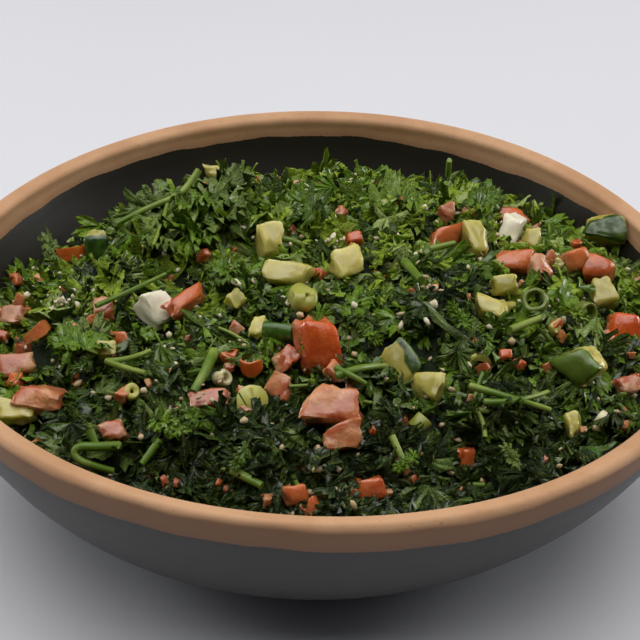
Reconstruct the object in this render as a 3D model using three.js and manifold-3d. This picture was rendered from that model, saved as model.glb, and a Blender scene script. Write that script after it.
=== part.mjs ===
// Tabbouleh in a stoneware serving bowl.
// Units are millimetres, +Z is up, and the origin is the middle of the bowl's foot, on the table.
// Two solids: the thrown bowl, and the heap of chopped salad that it holds.

import * as THREE from 'three';
import { mergeVertices } from 'three/addons/utils/BufferGeometryUtils.js';
import Module from 'manifold-3d';

// ---- Driving dimensions ----

const RIM_RADIUS = 110;            // widest radius, just under the top of the lip
const BOWL_HEIGHT = 58.4;
const FOOT_RADIUS = 55;            // flat foot that stands on the table
const FLOOR_THICKNESS = 7;
const LIP_WIDTH = 6.2;             // from the outer to the inner edge of the lip
const LIP_FALL = 2.3;              // how far the lip's top falls towards the inside
const LIP_ROUND = 1.3;             // height of the rounded outer edge of the lip
const LIP_CROWN = 1.5;             // the lip's highest line, in from its outer edge
const LIP_SOFTNESS = 0.5;          // how far the lip rounds down beside that line
const LIP_INNER_EASE = 0.8;        // rounding of the lip's inner edge, inward and up
const WALL_FULLNESS = 1.64;        // 1 is a straight wall, 2 a quarter of an ellipse
const RIM_WAVE = 1.6;              // how far the hand-thrown rim rises and dips
const RIM_WAVE_ANGLE = 1.32;       // direction of its high points, in radians from +X
const OVALITY = 0.0246;            // how far the hand-thrown rim is out of round

const HEAP_RISE = 8;               // top of the heap above the rim
const HEAP_EDGE_DEPTH = 14;        // where the salad meets the wall, below the rim, on average
const HEAP_EDGE_TILT = 7;          // the heap lies deeper at the back left by this much
const HEAP_LOW_SIDE = 2.36;        // direction of that deep side, in radians from +X
const HEAP_CROWN = 2.2;            // 2 is a round dome, more is flatter on top
const HEAP_CALM_EDGE = 4;          // higher keeps the unevenness nearer to the wall
const HEAP_GAP = 0.3;              // clearance between the salad and the bowl
const HEAP_OVERREACH = 3;          // extra radius of the heap before the wall trims it
const CLUMP_HEIGHT = 2.6;          // broad unevenness of the heap, up and down
const CLUMP_WIDTH = 34;
const KNOB_HEIGHT = 1.3;           // finer unevenness
const KNOB_WIDTH = 15;
const WAVES = 5;                   // crossing waves that make up each unevenness
const WAVE_SPREAD = 8;             // each wave is longer than the last by one part in this
const WAVE_PHASE = 1.7;            // shift from one wave to the next, in radians

const TUFTS = 26;                  // bunches of chopped parsley that stand out of the heap
const TUFT_RADIUS = 9;
const TUFT_VARIETY = 0.25;         // how far the bunches differ in size
const TUFT_WIDTH = 0.75;           // width and height are shares of their length
const TUFT_WIDTH_VARIETY = 0.2;
const TUFT_HEIGHT = 0.5;
const TUFT_SINK = 0.25;            // share of the radius by which a bunch sits in the heap
const DICE = 20;                   // pieces of tomato and cucumber that stand out of it
const DIE_SIZE = 12;
const DIE_VARIETY = 0.2;
const DIE_WIDTH = 0.8;
const DIE_WIDTH_VARIETY = 0.15;
const DIE_HEIGHT = 0.7;
const DIE_SINK = 0.2;
const SIZE_BASE = 0.85;            // smallest of both, before their variety is added
const SPREAD_REACH = 0.92;         // share of the inner radius over which they are spread
const LEAN = 0.5;                  // how far they lean, in radians
const HEADING_STEP = 1.9;          // turn about +Z from one to the next, in radians

const SEGMENTS = 72;               // round the bowl
const WALL_STEPS = 9;              // up each side of the wall
const HEAP_STEPS = 13;             // from the heap's middle to its edge

const GOLDEN_ANGLE = Math.PI * (3 - Math.sqrt(5));
const SAME_POINT = 1e-4;           // vertices nearer than this are one

const GLAZE_COLOR = 0x2b2a29;
const PARSLEY_COLOR = 0x2f4a16;

// ---- Profiles ----

const LIP_BASE = BOWL_HEIGHT - LIP_ROUND;
const INNER_RADIUS = RIM_RADIUS - LIP_WIDTH;
const INNER_TOP = BOWL_HEIGHT - LIP_FALL;
const INNER_FOOT = FOOT_RADIUS - LIP_WIDTH;

// Points up a wall, evenly spread along the curve from its foot to its top.
function wallProfile(foot, top, zFoot, zTop) {
  const points = [];
  for (let i = 0; i <= WALL_STEPS; i += 1) {
    const turn = (i / WALL_STEPS) * (Math.PI / 2);
    const out = Math.sin(turn) ** (2 / WALL_FULLNESS);
    const up = 1 - Math.cos(turn) ** (2 / WALL_FULLNESS);
    points.push(new THREE.Vector2(foot + (top - foot) * out, zFoot + (zTop - zFoot) * up));
  }
  return points;
}

// ---- Solids from turned profiles ----

// Turns a profile round +Z. Each vertex is then moved to place(angle, radius, height).
function turned(profile, place) {
  const geometry = new THREE.LatheGeometry(profile, SEGMENTS);
  const position = geometry.getAttribute('position');
  for (let i = 0; i <= SEGMENTS; i += 1) {
    const angle = ((i % SEGMENTS) / SEGMENTS) * 2 * Math.PI;
    profile.forEach((point, j) => {
      const [radius, height] = place(angle, point.x, point.y);
      const x = radius * Math.cos(angle);
      const y = radius * Math.sin(angle);
      position.setXYZ(i * profile.length + j, x, y, height);
    });
  }
  return closed(geometry);
}

// Joins doubled vertices and drops the triangles that collapse at the axis.
function closed(geometry) {
  geometry.deleteAttribute('normal');
  geometry.deleteAttribute('uv');
  const merged = mergeVertices(geometry, SAME_POINT);
  const kept = [];
  const corners = merged.getIndex().array;
  for (let i = 0; i < corners.length; i += 3) {
    const [a, b, c] = corners.slice(i, i + 3);
    if (a !== b && b !== c && c !== a) {
      kept.push(a, b, c);
    }
  }
  merged.setIndex(kept);
  return merged;
}

// The slight wave and ovality of a rim that was thrown by hand. The foot stays round and flat.
function thrown(angle, radius, height) {
  const share = height / BOWL_HEIGHT;
  const wave = RIM_WAVE * Math.cos(2 * (angle - RIM_WAVE_ANGLE)) * (radius / RIM_RADIUS) ** 2;
  const oval = OVALITY * Math.sin(2 * angle);
  return [radius * (1 - share * oval), height + share * wave];
}

// ---- Bowl ----

function bowlGeometry() {
  const outer = wallProfile(FOOT_RADIUS, RIM_RADIUS, 0, LIP_BASE);
  const inner = wallProfile(INNER_FOOT, INNER_RADIUS, FLOOR_THICKNESS, INNER_TOP);
  const lip = [
    new THREE.Vector2(RIM_RADIUS - LIP_SOFTNESS, BOWL_HEIGHT - LIP_SOFTNESS),
    new THREE.Vector2(RIM_RADIUS - LIP_CROWN, BOWL_HEIGHT),
    new THREE.Vector2(RIM_RADIUS - LIP_WIDTH / 2, BOWL_HEIGHT - LIP_SOFTNESS),
    new THREE.Vector2(INNER_RADIUS + LIP_INNER_EASE, INNER_TOP + LIP_INNER_EASE),
  ];
  const profile = [
    new THREE.Vector2(0, 0),
    ...outer,
    ...lip,
    ...inner.reverse(),
    new THREE.Vector2(0, FLOOR_THICKNESS),
  ];
  return turned(profile, thrown);
}

// ---- Heap of salad ----

// Smooth unevenness between -1 and 1, from crossing waves about one width long.
function uneven(x, y, width) {
  let sum = 0;
  for (let i = 0; i < WAVES; i += 1) {
    const along = x * Math.cos(i * GOLDEN_ANGLE) + y * Math.sin(i * GOLDEN_ANGLE);
    const length = width * (1 + i / WAVE_SPREAD);
    sum += Math.sin((2 * Math.PI * along) / length + WAVE_PHASE * i);
  }
  return sum / Math.sqrt(WAVES * 2);
}

// Where the salad meets the wall.
function heapEdgeHeight(angle) {
  const depth = HEAP_EDGE_DEPTH + HEAP_EDGE_TILT * Math.cos(angle - HEAP_LOW_SIDE);
  const x = INNER_RADIUS * Math.cos(angle);
  const y = INNER_RADIUS * Math.sin(angle);
  return BOWL_HEIGHT - depth + CLUMP_HEIGHT * uneven(x, y, CLUMP_WIDTH);
}

// Height of the top of the salad.
function heapHeight(angle, radius) {
  const share = Math.min(radius / INNER_RADIUS, 1);
  const edge = heapEdgeHeight(angle);
  const dome = edge + (BOWL_HEIGHT + HEAP_RISE - edge) * (1 - share ** HEAP_CROWN);
  const x = radius * Math.cos(angle);
  const y = radius * Math.sin(angle);
  const inside = 1 - share ** HEAP_CALM_EDGE;
  const clumps = CLUMP_HEIGHT * uneven(x, y, CLUMP_WIDTH);
  const knobs = KNOB_HEIGHT * uneven(y, -x, KNOB_WIDTH);
  return dome + inside * (clumps + knobs);
}

// The heap as a thick disc with an uneven top, a little wider than the bowl's inside.
function discGeometry() {
  const reach = INNER_RADIUS + HEAP_OVERREACH;
  const profile = [new THREE.Vector2(0, 0), new THREE.Vector2(reach, 0)];
  for (let i = HEAP_STEPS; i >= 0; i -= 1) {
    profile.push(new THREE.Vector2((reach * i) / HEAP_STEPS, BOWL_HEIGHT));
  }
  return turned(profile, (angle, radius, height) => {
    const top = height > 0 ? heapHeight(angle, radius) : 0;
    return thrown(angle, radius, top);
  });
}

// The room that the salad can fill: the bowl's inside, less a small clearance, and what is above.
function roomGeometry() {
  const wall = wallProfile(INNER_FOOT, INNER_RADIUS, FLOOR_THICKNESS, INNER_TOP);
  const ceiling = 2 * BOWL_HEIGHT;
  const profile = [
    new THREE.Vector2(0, FLOOR_THICKNESS + HEAP_GAP),
    ...wall.map((point) => new THREE.Vector2(point.x - HEAP_GAP, point.y + HEAP_GAP)),
    new THREE.Vector2(INNER_RADIUS - HEAP_GAP, ceiling),
    new THREE.Vector2(0, ceiling),
  ];
  return turned(profile, thrown);
}

// ---- Pieces that stand out of the heap ----

// Spot number i of count on the heap, on a sunflower spiral, with its height on the surface.
function spot(i, count, shift) {
  const radius = SPREAD_REACH * INNER_RADIUS * Math.sqrt((i + 0.5) / count);
  const angle = (i + shift) * GOLDEN_ANGLE;
  const height = heapHeight(angle, radius);
  return new THREE.Vector3(radius * Math.cos(angle), radius * Math.sin(angle), height);
}

// Puts a piece at a spot, turned and stretched a little differently for each number.
function lay(geometry, place, i, sink, stretch) {
  const turn = new THREE.Quaternion();
  const forward = LEAN * Math.sin(5 * i);
  const sideways = LEAN * Math.cos(3 * i);
  turn.setFromEuler(new THREE.Euler(forward, sideways, HEADING_STEP * i));
  const at = place.clone().setZ(place.z - sink);
  const matrix = new THREE.Matrix4().compose(at, turn, stretch);
  return closed(geometry.applyMatrix4(matrix));
}

// One bunch of chopped parsley.
function tuft(i) {
  const size = TUFT_RADIUS * (SIZE_BASE + TUFT_VARIETY * Math.sin(7 * i));
  const width = TUFT_WIDTH + TUFT_WIDTH_VARIETY * Math.cos(4 * i);
  const stretch = new THREE.Vector3(1, width, TUFT_HEIGHT);
  const geometry = new THREE.IcosahedronGeometry(size, 1);
  return lay(geometry, spot(i, TUFTS, 0), i, size * TUFT_SINK, stretch);
}

// One piece of tomato or cucumber.
function die(i) {
  const size = DIE_SIZE * (SIZE_BASE + DIE_VARIETY * Math.sin(11 * i));
  const width = DIE_WIDTH + DIE_WIDTH_VARIETY * Math.cos(6 * i);
  const stretch = new THREE.Vector3(1, width, DIE_HEIGHT);
  const geometry = new THREE.BoxGeometry(size, size, size);
  return lay(geometry, spot(i, DICE, 0.5), i, size * DIE_SINK, stretch);
}

// ---- Joining ----

const wasm = await Module();
wasm.setup();

function toManifold(geometry) {
  return new wasm.Manifold(new wasm.Mesh({
    numProp: 3,
    vertProperties: new Float32Array(geometry.getAttribute('position').array),
    triVerts: new Uint32Array(geometry.getIndex().array),
  }));
}

function toGeometry(solid) {
  const mesh = solid.getMesh();
  const geometry = new THREE.BufferGeometry();
  geometry.setAttribute('position', new THREE.BufferAttribute(mesh.vertProperties, 3));
  geometry.setIndex(new THREE.BufferAttribute(mesh.triVerts, 1));
  return geometry;
}

function saladGeometry() {
  let solid = toManifold(discGeometry());
  for (let i = 0; i < TUFTS; i += 1) {
    solid = solid.add(toManifold(tuft(i)));
  }
  for (let i = 0; i < DICE; i += 1) {
    solid = solid.add(toManifold(die(i)));
  }
  return toGeometry(solid.intersect(toManifold(roomGeometry())));
}

// ---- Scene graph ----

function piece(name, geometry, color, roughness) {
  const material = new THREE.MeshStandardMaterial({ color, roughness, metalness: 0 });
  const mesh = new THREE.Mesh(geometry, material);
  mesh.name = name;
  return mesh;
}

const group = new THREE.Group();
group.add(piece('bowl', bowlGeometry(), GLAZE_COLOR, 0.55));
group.add(piece('salad', saladGeometry(), PARSLEY_COLOR, 0.6));

export default group;
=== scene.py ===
from math import atan2, cos, hypot, pi, radians, sin

import bmesh
import bpy
import numpy as np
from mathutils import Matrix, Vector, noise
from mathutils.bvhtree import BVHTree


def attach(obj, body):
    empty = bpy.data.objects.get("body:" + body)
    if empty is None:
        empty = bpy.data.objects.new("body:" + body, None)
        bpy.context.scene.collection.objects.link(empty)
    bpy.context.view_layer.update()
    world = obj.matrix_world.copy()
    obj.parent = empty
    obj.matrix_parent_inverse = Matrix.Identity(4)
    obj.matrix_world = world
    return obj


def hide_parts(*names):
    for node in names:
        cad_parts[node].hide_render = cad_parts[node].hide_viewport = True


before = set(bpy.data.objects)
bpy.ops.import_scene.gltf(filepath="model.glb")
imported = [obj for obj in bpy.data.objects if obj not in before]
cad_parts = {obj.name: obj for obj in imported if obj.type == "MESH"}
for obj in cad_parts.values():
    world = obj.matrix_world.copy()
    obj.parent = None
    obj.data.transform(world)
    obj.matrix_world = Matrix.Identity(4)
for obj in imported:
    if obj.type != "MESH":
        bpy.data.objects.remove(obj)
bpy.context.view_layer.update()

# The camera stands in front of the bowl and looks down on it, near enough that the rim is a
# little wider than the picture.
RIM_HEIGHT = 0.0584
LENS_PIXELS = 1400
PICTURE = 640
SENSOR = 36
CAMERA_PLACE = (0, -0.3428, 0.2659)
CAMERA_DOWN = radians(33.03)
CAMERA_YAW = radians(0.326)
CAMERA_ROLL = radians(-0.557)

lens = bpy.data.cameras.new("camera")
lens.sensor_width = SENSOR
lens.lens = LENS_PIXELS / PICTURE * SENSOR
lens.clip_start = 0.01
aim = Matrix.Rotation(-CAMERA_YAW, 4, "Z") @ Matrix.Rotation(pi / 2 - CAMERA_DOWN, 4, "X")
aim = aim @ Matrix.Rotation(CAMERA_ROLL, 4, "Z")


def shown(name, data):
    """An object in the scene that shows a mesh, a lamp or a camera."""
    thing = bpy.data.objects.new(name, data)
    bpy.context.scene.collection.objects.link(thing)
    return thing


camera = shown("camera", lens)
camera.matrix_world = Matrix.Translation(CAMERA_PLACE) @ aim
bpy.context.scene.camera = camera
bpy.context.scene.view_settings.view_transform = "Standard"


def sight_line(px, py):
    """Direction from the camera through a point of the picture."""
    across = (px - PICTURE / 2) / LENS_PIXELS
    down = (py - PICTURE / 2) / LENS_PIXELS
    return (aim.to_3x3() @ Vector((across, -down, -1))).normalized()


# Finishes are node trees. Varying is a number or colour that changes over a surface: arithmetic on
# it adds Math nodes. A Finish is one material, and add() makes any other node in it.
class Varying:
    def __init__(self, finish, socket):
        self.finish = finish
        self.socket = socket

    def math(self, operation, other):
        return self.finish.add("ShaderNodeMath", {"operation": operation}, {0: self, 1: other})

    def __add__(self, other):
        return self.math("ADD", other)

    def __sub__(self, other):
        return self.math("SUBTRACT", other)

    def __mul__(self, other):
        return self.math("MULTIPLY", other)

    def __rsub__(self, other):
        return (self * -1) + other

    __radd__ = __add__
    __rmul__ = __mul__

    def between(self, low, high):
        """0 below low, 1 above high, and smooth between them."""
        values = {"Value": self, "From Min": low, "From Max": high}
        return self.finish.add("ShaderNodeMapRange", {"interpolation_type": "SMOOTHSTEP"}, values)


class Finish:
    def __init__(self, name, **surface):
        self.material = bpy.data.materials.new(name)
        self.material.use_nodes = True
        self.tree = self.material.node_tree
        self.wear(**surface)

    def feed(self, socket, value):
        if isinstance(value, Varying):
            self.tree.links.new(value.socket, socket)
        else:
            socket.default_value = value

    def add(self, kind, settings, values, output=0):
        node = self.tree.nodes.new(kind)
        for name, setting in settings.items():
            setattr(node, name, setting)
        for socket, value in values.items():
            self.feed(node.inputs[socket], value)
        return Varying(self, node.outputs[output])

    def own(self, name):
        """An attribute of the piece's own mesh."""
        return self.add("ShaderNodeAttribute", {"attribute_name": name}, {}, "Fac")

    def grain(self, scale, detail=3, rough=0.6):
        place = self.add("ShaderNodeTexCoord", {}, {}, "Object")
        values = {"Vector": place, "Scale": scale, "Detail": detail, "Roughness": rough}
        return self.add("ShaderNodeTexNoise", {}, values)

    def blend(self, factor, first, second):
        values = {0: factor, 6: first, 7: second}
        return self.add("ShaderNodeMix", {"data_type": "RGBA"}, values, 2)

    def layers(self, colour, *over):
        """A colour with others laid over it one by one: (how strongly, red, green, blue)."""
        for factor, *chart in over:
            colour = self.blend(factor, colour, paint(*chart))
        return colour

    def bump(self, height, strength, distance):
        values = {"Height": height, "Strength": strength, "Distance": distance}
        return self.add("ShaderNodeBump", {}, values)

    def wear(self, **surface):
        for socket, value in surface.items():
            self.feed(self.tree.nodes["Principled BSDF"].inputs[socket.replace("_", " ")], value)
        return self.material


def paint(red, green, blue):
    """A colour as a paint chart gives it, 0 to 255, as the light it reflects."""
    shares = [chart / 255 for chart in (red, green, blue)]
    return (*(s / 12.92 if s < 10 / 255 else ((s + 0.055) / 1.055) ** 2.4 for s in shares), 1)


# Table: a plain pale tabletop under one wide softbox, which hangs above the bowl and a little
# behind it, so the front of the bowl stands in its own shade. Faint glows at both sides lift the
# edges.
TABLE_SIDE = 8


def softbox(name, place, target, side, watts, tint, spread=180):
    light = bpy.data.lights.new(name, "AREA")
    light.shape = "SQUARE"
    light.size = side
    light.energy = watts
    light.color = tint
    light.spread = radians(spread)
    lamp = shown(name, light)
    lamp.location = place
    lamp.rotation_euler = (Vector(target) - Vector(place)).to_track_quat("-Z", "Y").to_euler()


softbox("softbox_above", place=(0, 0.14, 0.90), target=(0, 0.05, 0), side=1.5, watts=8.0,
        tint=(1, 0.985, 0.97), spread=120)
for name, across in (("glow_left", -1.0), ("glow_right", 1.0)):
    softbox(name, place=(across, 0.42, 0.26), target=(0, 0, 0.02), side=0.5, watts=4.2,
            tint=(0.97, 0.98, 1))
room = bpy.data.worlds.new("room")
room.use_nodes = True
haze = room.node_tree.nodes["Background"]
haze.inputs["Color"].default_value = (0.92, 0.94, 1, 1)
haze.inputs["Strength"].default_value = 0.02
bpy.context.scene.world = room

table_mesh = bmesh.new()
bmesh.ops.create_grid(table_mesh, x_segments=1, y_segments=1, size=TABLE_SIDE / 2)
table = shown("table", bpy.data.meshes.new("table"))
table_mesh.to_mesh(table.data)
table_mesh.free()
tabletop = Finish("tabletop", Roughness=0.65)
mottle = tabletop.grain(3, 2)
tabletop.wear(Base_Color=tabletop.blend(mottle, paint(214, 215, 220), paint(222, 223, 228)))
table.data.materials.append(tabletop.material)


# Bowl: hand-thrown stoneware, turned on the wheel as one profile. It is dipped in a satin charcoal
# glaze inside and out, and the lip is left bare, so a wavy line runs below it on both sides.
RIM_RADIUS = 0.110
FOOT_RADIUS = 0.055
FLOOR_THICKNESS = 0.007
LIP_WIDTH = 0.0062
LIP_FALL = 0.0023
LIP_ROUND = 0.0013
LIP_CROWN = (0.0009, 0.0006)       # in from the rim and up from it, where the lip's curve turns
LIP_SHOULDER = (0.0034, 0.0001)
LIP_EDGE = (0.0001, 0.0016)        # out from the inner wall and up from it
LIP_STEPS = 5
LIP_INSIDE = 8                     # how many of the lip's points lie on its inner side
WALL_STEPS = 40
WALL_FULLNESS = 1.64
RIM_WAVE = 0.0016
RIM_WAVE_ANGLE = 1.32
OVALITY = 0.0246
BARE_OUTSIDE = 0.0078
BARE_INSIDE = 0.0070
GLAZE_THICKNESS = 0.00022
GLAZE_SOFTNESS = 0.00025
GLAZE_WANDER = ((0.0005, 3, 1), (0.00032, 7, 2), (0.00022, 19, 3), (0.00014, 41, 0))
PHASE_OUTSIDE = 0.7
PHASE_INSIDE = 2.1
WHEEL_RINGS = (0.00007, 1900)      # depth, and turns in a metre of height
HAND_UNEVEN = (0.00012, 45)
TURNS = 288

INNER_RADIUS = RIM_RADIUS - LIP_WIDTH
INNER_TOP = RIM_HEIGHT - LIP_FALL
INNER_FOOT = FOOT_RADIUS - LIP_WIDTH
LIP_BASE = RIM_HEIGHT - LIP_ROUND


def wall_curve(steps, foot, top, z_foot, z_top):
    """Points up a full, rounded wall."""
    points = []
    for step in range(steps + 1):
        turn = step / steps * pi / 2
        out = sin(turn) ** (2 / WALL_FULLNESS)
        up = 1 - max(cos(turn), 0) ** (2 / WALL_FULLNESS)
        points.append((foot + (top - foot) * out, z_foot + (z_top - z_foot) * up))
    return points


def lip_curve(steps):
    """Points over the soft lip, from its outer edge to its inner one."""
    bends = [(RIM_RADIUS - LIP_CROWN[0], RIM_HEIGHT + LIP_CROWN[1]),
             (RIM_RADIUS - LIP_SHOULDER[0], RIM_HEIGHT + LIP_SHOULDER[1]),
             (INNER_RADIUS + LIP_EDGE[0], INNER_TOP + LIP_EDGE[1])]
    joins = [((a[0] + b[0]) / 2, (a[1] + b[1]) / 2) for a, b in zip(bends, bends[1:])]
    joins = [(RIM_RADIUS, LIP_BASE), *joins, (INNER_RADIUS, INNER_TOP)]
    points = []
    for first, bend, last in zip(joins, bends, joins[1:]):
        for step in range(1, steps + 1):
            t = step / steps
            points.append(tuple((1 - t) ** 2 * a + 2 * t * (1 - t) * b + t * t * c
                                for a, b, c in zip(first, bend, last)))
    return points


def thrown(x, y, z):
    """The slight wave and ovality of a rim thrown by hand. The foot stays round and flat."""
    radius = np.hypot(x, y)
    angle = np.arctan2(y, x)
    share = z / RIM_HEIGHT
    wave = RIM_WAVE * np.cos(2 * (angle - RIM_WAVE_ANGLE)) * (radius / RIM_RADIUS) ** 2
    swell = 1 - share * OVALITY * np.sin(2 * angle)
    return x * swell, y * swell, z + share * wave


def glaze_edge(angle, phase):
    """How far the glaze line wanders up and down on its way round."""
    return sum(height * sin(waves * angle + shift * phase) for height, waves, shift in GLAZE_WANDER)


outer_wall = wall_curve(WALL_STEPS, FOOT_RADIUS, RIM_RADIUS, 0, LIP_BASE)
inner_wall = wall_curve(WALL_STEPS, INNER_FOOT, INNER_RADIUS, FLOOR_THICKNESS, INNER_TOP)
profile = [(0, 0), (FOOT_RADIUS / 2, 0), *outer_wall, *lip_curve(LIP_STEPS)]
last_outside = len(profile) - LIP_INSIDE
profile += [*inner_wall[:-1][::-1], (INNER_FOOT / 2, FLOOR_THICKNESS), (0, FLOOR_THICKNESS)]

shell = bmesh.new()
outside_of = shell.verts.layers.float.new("outside")
bare_of = shell.verts.layers.float.new("bare")
edge_line = [shell.verts.new((radius, 0, height)) for radius, height in profile]
for below, above in zip(edge_line, edge_line[1:]):
    shell.edges.new((below, above))
for number, vertex in enumerate(edge_line):
    vertex[outside_of] = 1.0 if number < last_outside else 0.0
bmesh.ops.spin(shell, geom=shell.verts[:] + shell.edges[:], axis=(0, 0, 1), cent=(0, 0, 0),
               angle=2 * pi, steps=TURNS, use_merge=True)
bmesh.ops.remove_doubles(shell, verts=shell.verts[:], dist=1e-6)
bmesh.ops.recalc_face_normals(shell, faces=shell.faces[:])
shell.normal_update()
for vertex in shell.verts:
    x, y, z = vertex.co
    angle = atan2(y, x)
    outside = vertex[outside_of] > 0.5
    drop = BARE_OUTSIDE if outside else BARE_INSIDE
    line = RIM_HEIGHT - drop + glaze_edge(angle, PHASE_OUTSIDE if outside else PHASE_INSIDE)
    vertex[bare_of] = (z - line) * 1000
    # The glaze stands a little proud of the clay, and the wheel leaves faint rings in the wall.
    coat = GLAZE_THICKNESS / (1 + np.exp((z - line) / GLAZE_SOFTNESS))
    ring = WHEEL_RINGS[0] * sin(z * WHEEL_RINGS[1] + 2 * sin(angle))
    ring += HAND_UNEVEN[0] * noise.noise(vertex.co * HAND_UNEVEN[1])
    # The foot it stands on and the middle of the floor stay flat.
    if z > 0.001 and hypot(x, y) > 0.01:
        vertex.co += vertex.normal * (coat + ring - GLAZE_THICKNESS)
    vertex.co = Vector(thrown(*vertex.co))
stoneware_mesh = bpy.data.meshes.new("stoneware_bowl")
shell.to_mesh(stoneware_mesh)
shell.free()
stoneware_mesh.shade_smooth()
bowl = shown("stoneware_bowl", stoneware_mesh)

stoneware = Finish("stoneware", IOR=1.5)
clay_grain = stoneware.grain(260, 4, 0.65)
clay_patch = stoneware.grain(38, 3)
clay_specks = stoneware.grain(900, 1).between(0.70, 0.76)
above_line = stoneware.own("bare")
outside = stoneware.own("outside")
bare = (above_line + (stoneware.grain(700, 2) - 0.5) * 0.5).between(-0.12, 0.16)
# The clay is scorched darker where the thin end of the glaze soaks in.
scorch = 1 - (above_line + (clay_patch - 0.5) * 1.5).between(0.2, 2.8)
# The outer side of the lip is painted browner and darker than its top: partly a thin wash on the
# clay, partly painted shade, as that side faces away from the light above.
wash_and_shade_side = outside * (1 - above_line.between(5.6, 7.3))
clay = stoneware.layers(
    paint(204, 159, 119),
    (clay_patch.between(0.35, 0.7), 190, 143, 103),
    (clay_grain.between(0.5, 0.8) * 0.3, 172, 122, 84),
    (clay_specks * 0.3, 74, 46, 32),
    (scorch * 0.45, 112, 74, 50),
    # The lip's outer side: partly a thin wash, partly painted shade.
    (wash_and_shade_side * 0.9, 132, 98, 74),
)
glaze_patch = stoneware.grain(24, 4)
glaze = stoneware.layers(paint(40, 39, 39), (glaze_patch.between(0.3, 0.75), 52, 51, 51),
                         (1 - outside, 30, 26, 20))
stoneware.wear(
    Base_Color=stoneware.blend(bare, glaze, clay),
    Roughness=bare * 0.30 + 0.46 + (glaze_patch - 0.5) * 0.10,
    Normal=stoneware.bump(clay_grain * (bare * 0.8 + 0.2), 0.35, 0.0004),
)
stoneware_mesh.materials.append(stoneware.material)
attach(bowl, "root")
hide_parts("bowl")


# Heap: the bulk of the salad under the loose pieces. It follows the heap's outline a few
# millimetres down, as a mass of tightly packed herb and grain with hollows between clumps. It is
# painted a near-black green: painted shade for the deep gaps between the leaves above it.
CORE_DEPTH = 0.0060
GRID_STEP = 0.0015
GRID_SIDE = 147
SMOOTHING = 8
HEAP_REACH = 0.098
HOLLOWS = (  # middle in the picture, radius and depth in millimetres
    (505, 462, 12, 6), (455, 482, 11, 5), (340, 478, 14, 2), (395, 488, 10, 2),
    (402, 344, 8, 5), (150, 348, 8, 4), (40, 345, 9, 4), (252, 250, 6, 4),
    (176, 266, 9, 8), (215, 350, 6, 4), (520, 370, 8, 5), (610, 300, 7, 3), (120, 265, 8, 4),
    (380, 300, 6, 4), (130, 470, 8, 4), (560, 410, 9, 5), (450, 430, 8, 5), (300, 420, 7, 4),
    (280, 160, 14, 5), (335, 158, 14, 6), (390, 158, 14, 6), (445, 166, 12, 4), (160, 180, 12, 4),
    (110, 215, 10, 3), (530, 192, 12, 3), (270, 205, 7, 5), (470, 320, 7, 4), (330, 310, 5, 4),
)
GAPS_DEPTH = 0.0045    # the gaps between clumps, all over the heap
GAPS_WIDTH = 0.019
GAPS_CONTRAST = 1.6
GAPS_SLICE = 0.4       # which slice of the noise the clumps come from
OVER_HEAP = 0.2
LOWEST_SALAD = 0.03
LEVEL_TURNS = 24
SIGHT_NEAR, SIGHT_FAR, SIGHT_STEPS = 0.25, 0.55, 1200

salad_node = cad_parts["salad"]
corners = [vertex.co.copy() for vertex in salad_node.data.vertices]
solid = BVHTree.FromPolygons(corners, [tuple(face.vertices) for face in salad_node.data.polygons])
top_of_heap = max(corner.z for corner in corners)
half_grid = (GRID_SIDE - 1) / 2 * GRID_STEP
reach = np.linspace(-half_grid, half_grid, GRID_SIDE)
heap = np.full((GRID_SIDE, GRID_SIDE), np.nan)
for column, x in enumerate(reach):
    for row, y in enumerate(reach):
        hit = solid.ray_cast(Vector((x, y, OVER_HEAP)), Vector((0, 0, -1)))[0]
        if hit and hit.z > LOWEST_SALAD:
            heap[column, row] = hit.z
# Beyond the salad's edge the surface goes on level, so that it can be smoothed.
for turn in range(LEVEL_TURNS):
    padded = np.pad(heap, 1, constant_values=np.nan)
    around = np.stack([padded[:-2, 1:-1], padded[2:, 1:-1], padded[1:-1, :-2], padded[1:-1, 2:]])
    known = ~np.isnan(around)
    mean = np.where(known, around, 0).sum(0) / np.maximum(known.sum(0), 1)
    heap = np.where(np.isnan(heap) & known.any(0), mean, heap)
heap = np.where(np.isnan(heap), np.nanmin(heap), heap)
for turn in range(SMOOTHING):
    wide = np.pad(heap, 1, mode="edge")
    heap = (wide[:-2, 1:-1] + wide[2:, 1:-1] + wide[1:-1, :-2] + wide[1:-1, 2:] + 2 * heap) / 6


def looked_up(field, x, y):
    """Value of a height field at places, worked out between its nearest four points."""
    u = np.clip((np.asarray(x) + half_grid) / GRID_STEP, 0, GRID_SIDE - 1.001)
    v = np.clip((np.asarray(y) + half_grid) / GRID_STEP, 0, GRID_SIDE - 1.001)
    i, j = u.astype(int), v.astype(int)
    u, v = u - i, v - j
    near = field[i, j] * (1 - u) + field[i + 1, j] * u
    far = field[i, j + 1] * (1 - u) + field[i + 1, j + 1] * u
    return near * (1 - v) + far * v


def on_heap(px, py):
    """The place on the heap that is seen at a point of the picture, or the nearest to that line."""
    distances = np.linspace(SIGHT_NEAR, SIGHT_FAR, SIGHT_STEPS)[:, None]
    along = np.array(CAMERA_PLACE) + np.array(sight_line(px, py)) * distances
    along = along[np.hypot(along[:, 0], along[:, 1]) < HEAP_REACH]
    gap = along[:, 2] - looked_up(heap, along[:, 0], along[:, 1])
    return Vector(along[np.argmax(gap < 0)] if (gap < 0).any() else along[np.argmin(gap)])


def above_heap(px, py, rise):
    """A place that many metres above the heap which is seen at a point of the picture."""
    at = on_heap(px, py)
    back = Vector(CAMERA_PLACE) - at
    return at + back * (rise / back.z)


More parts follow.
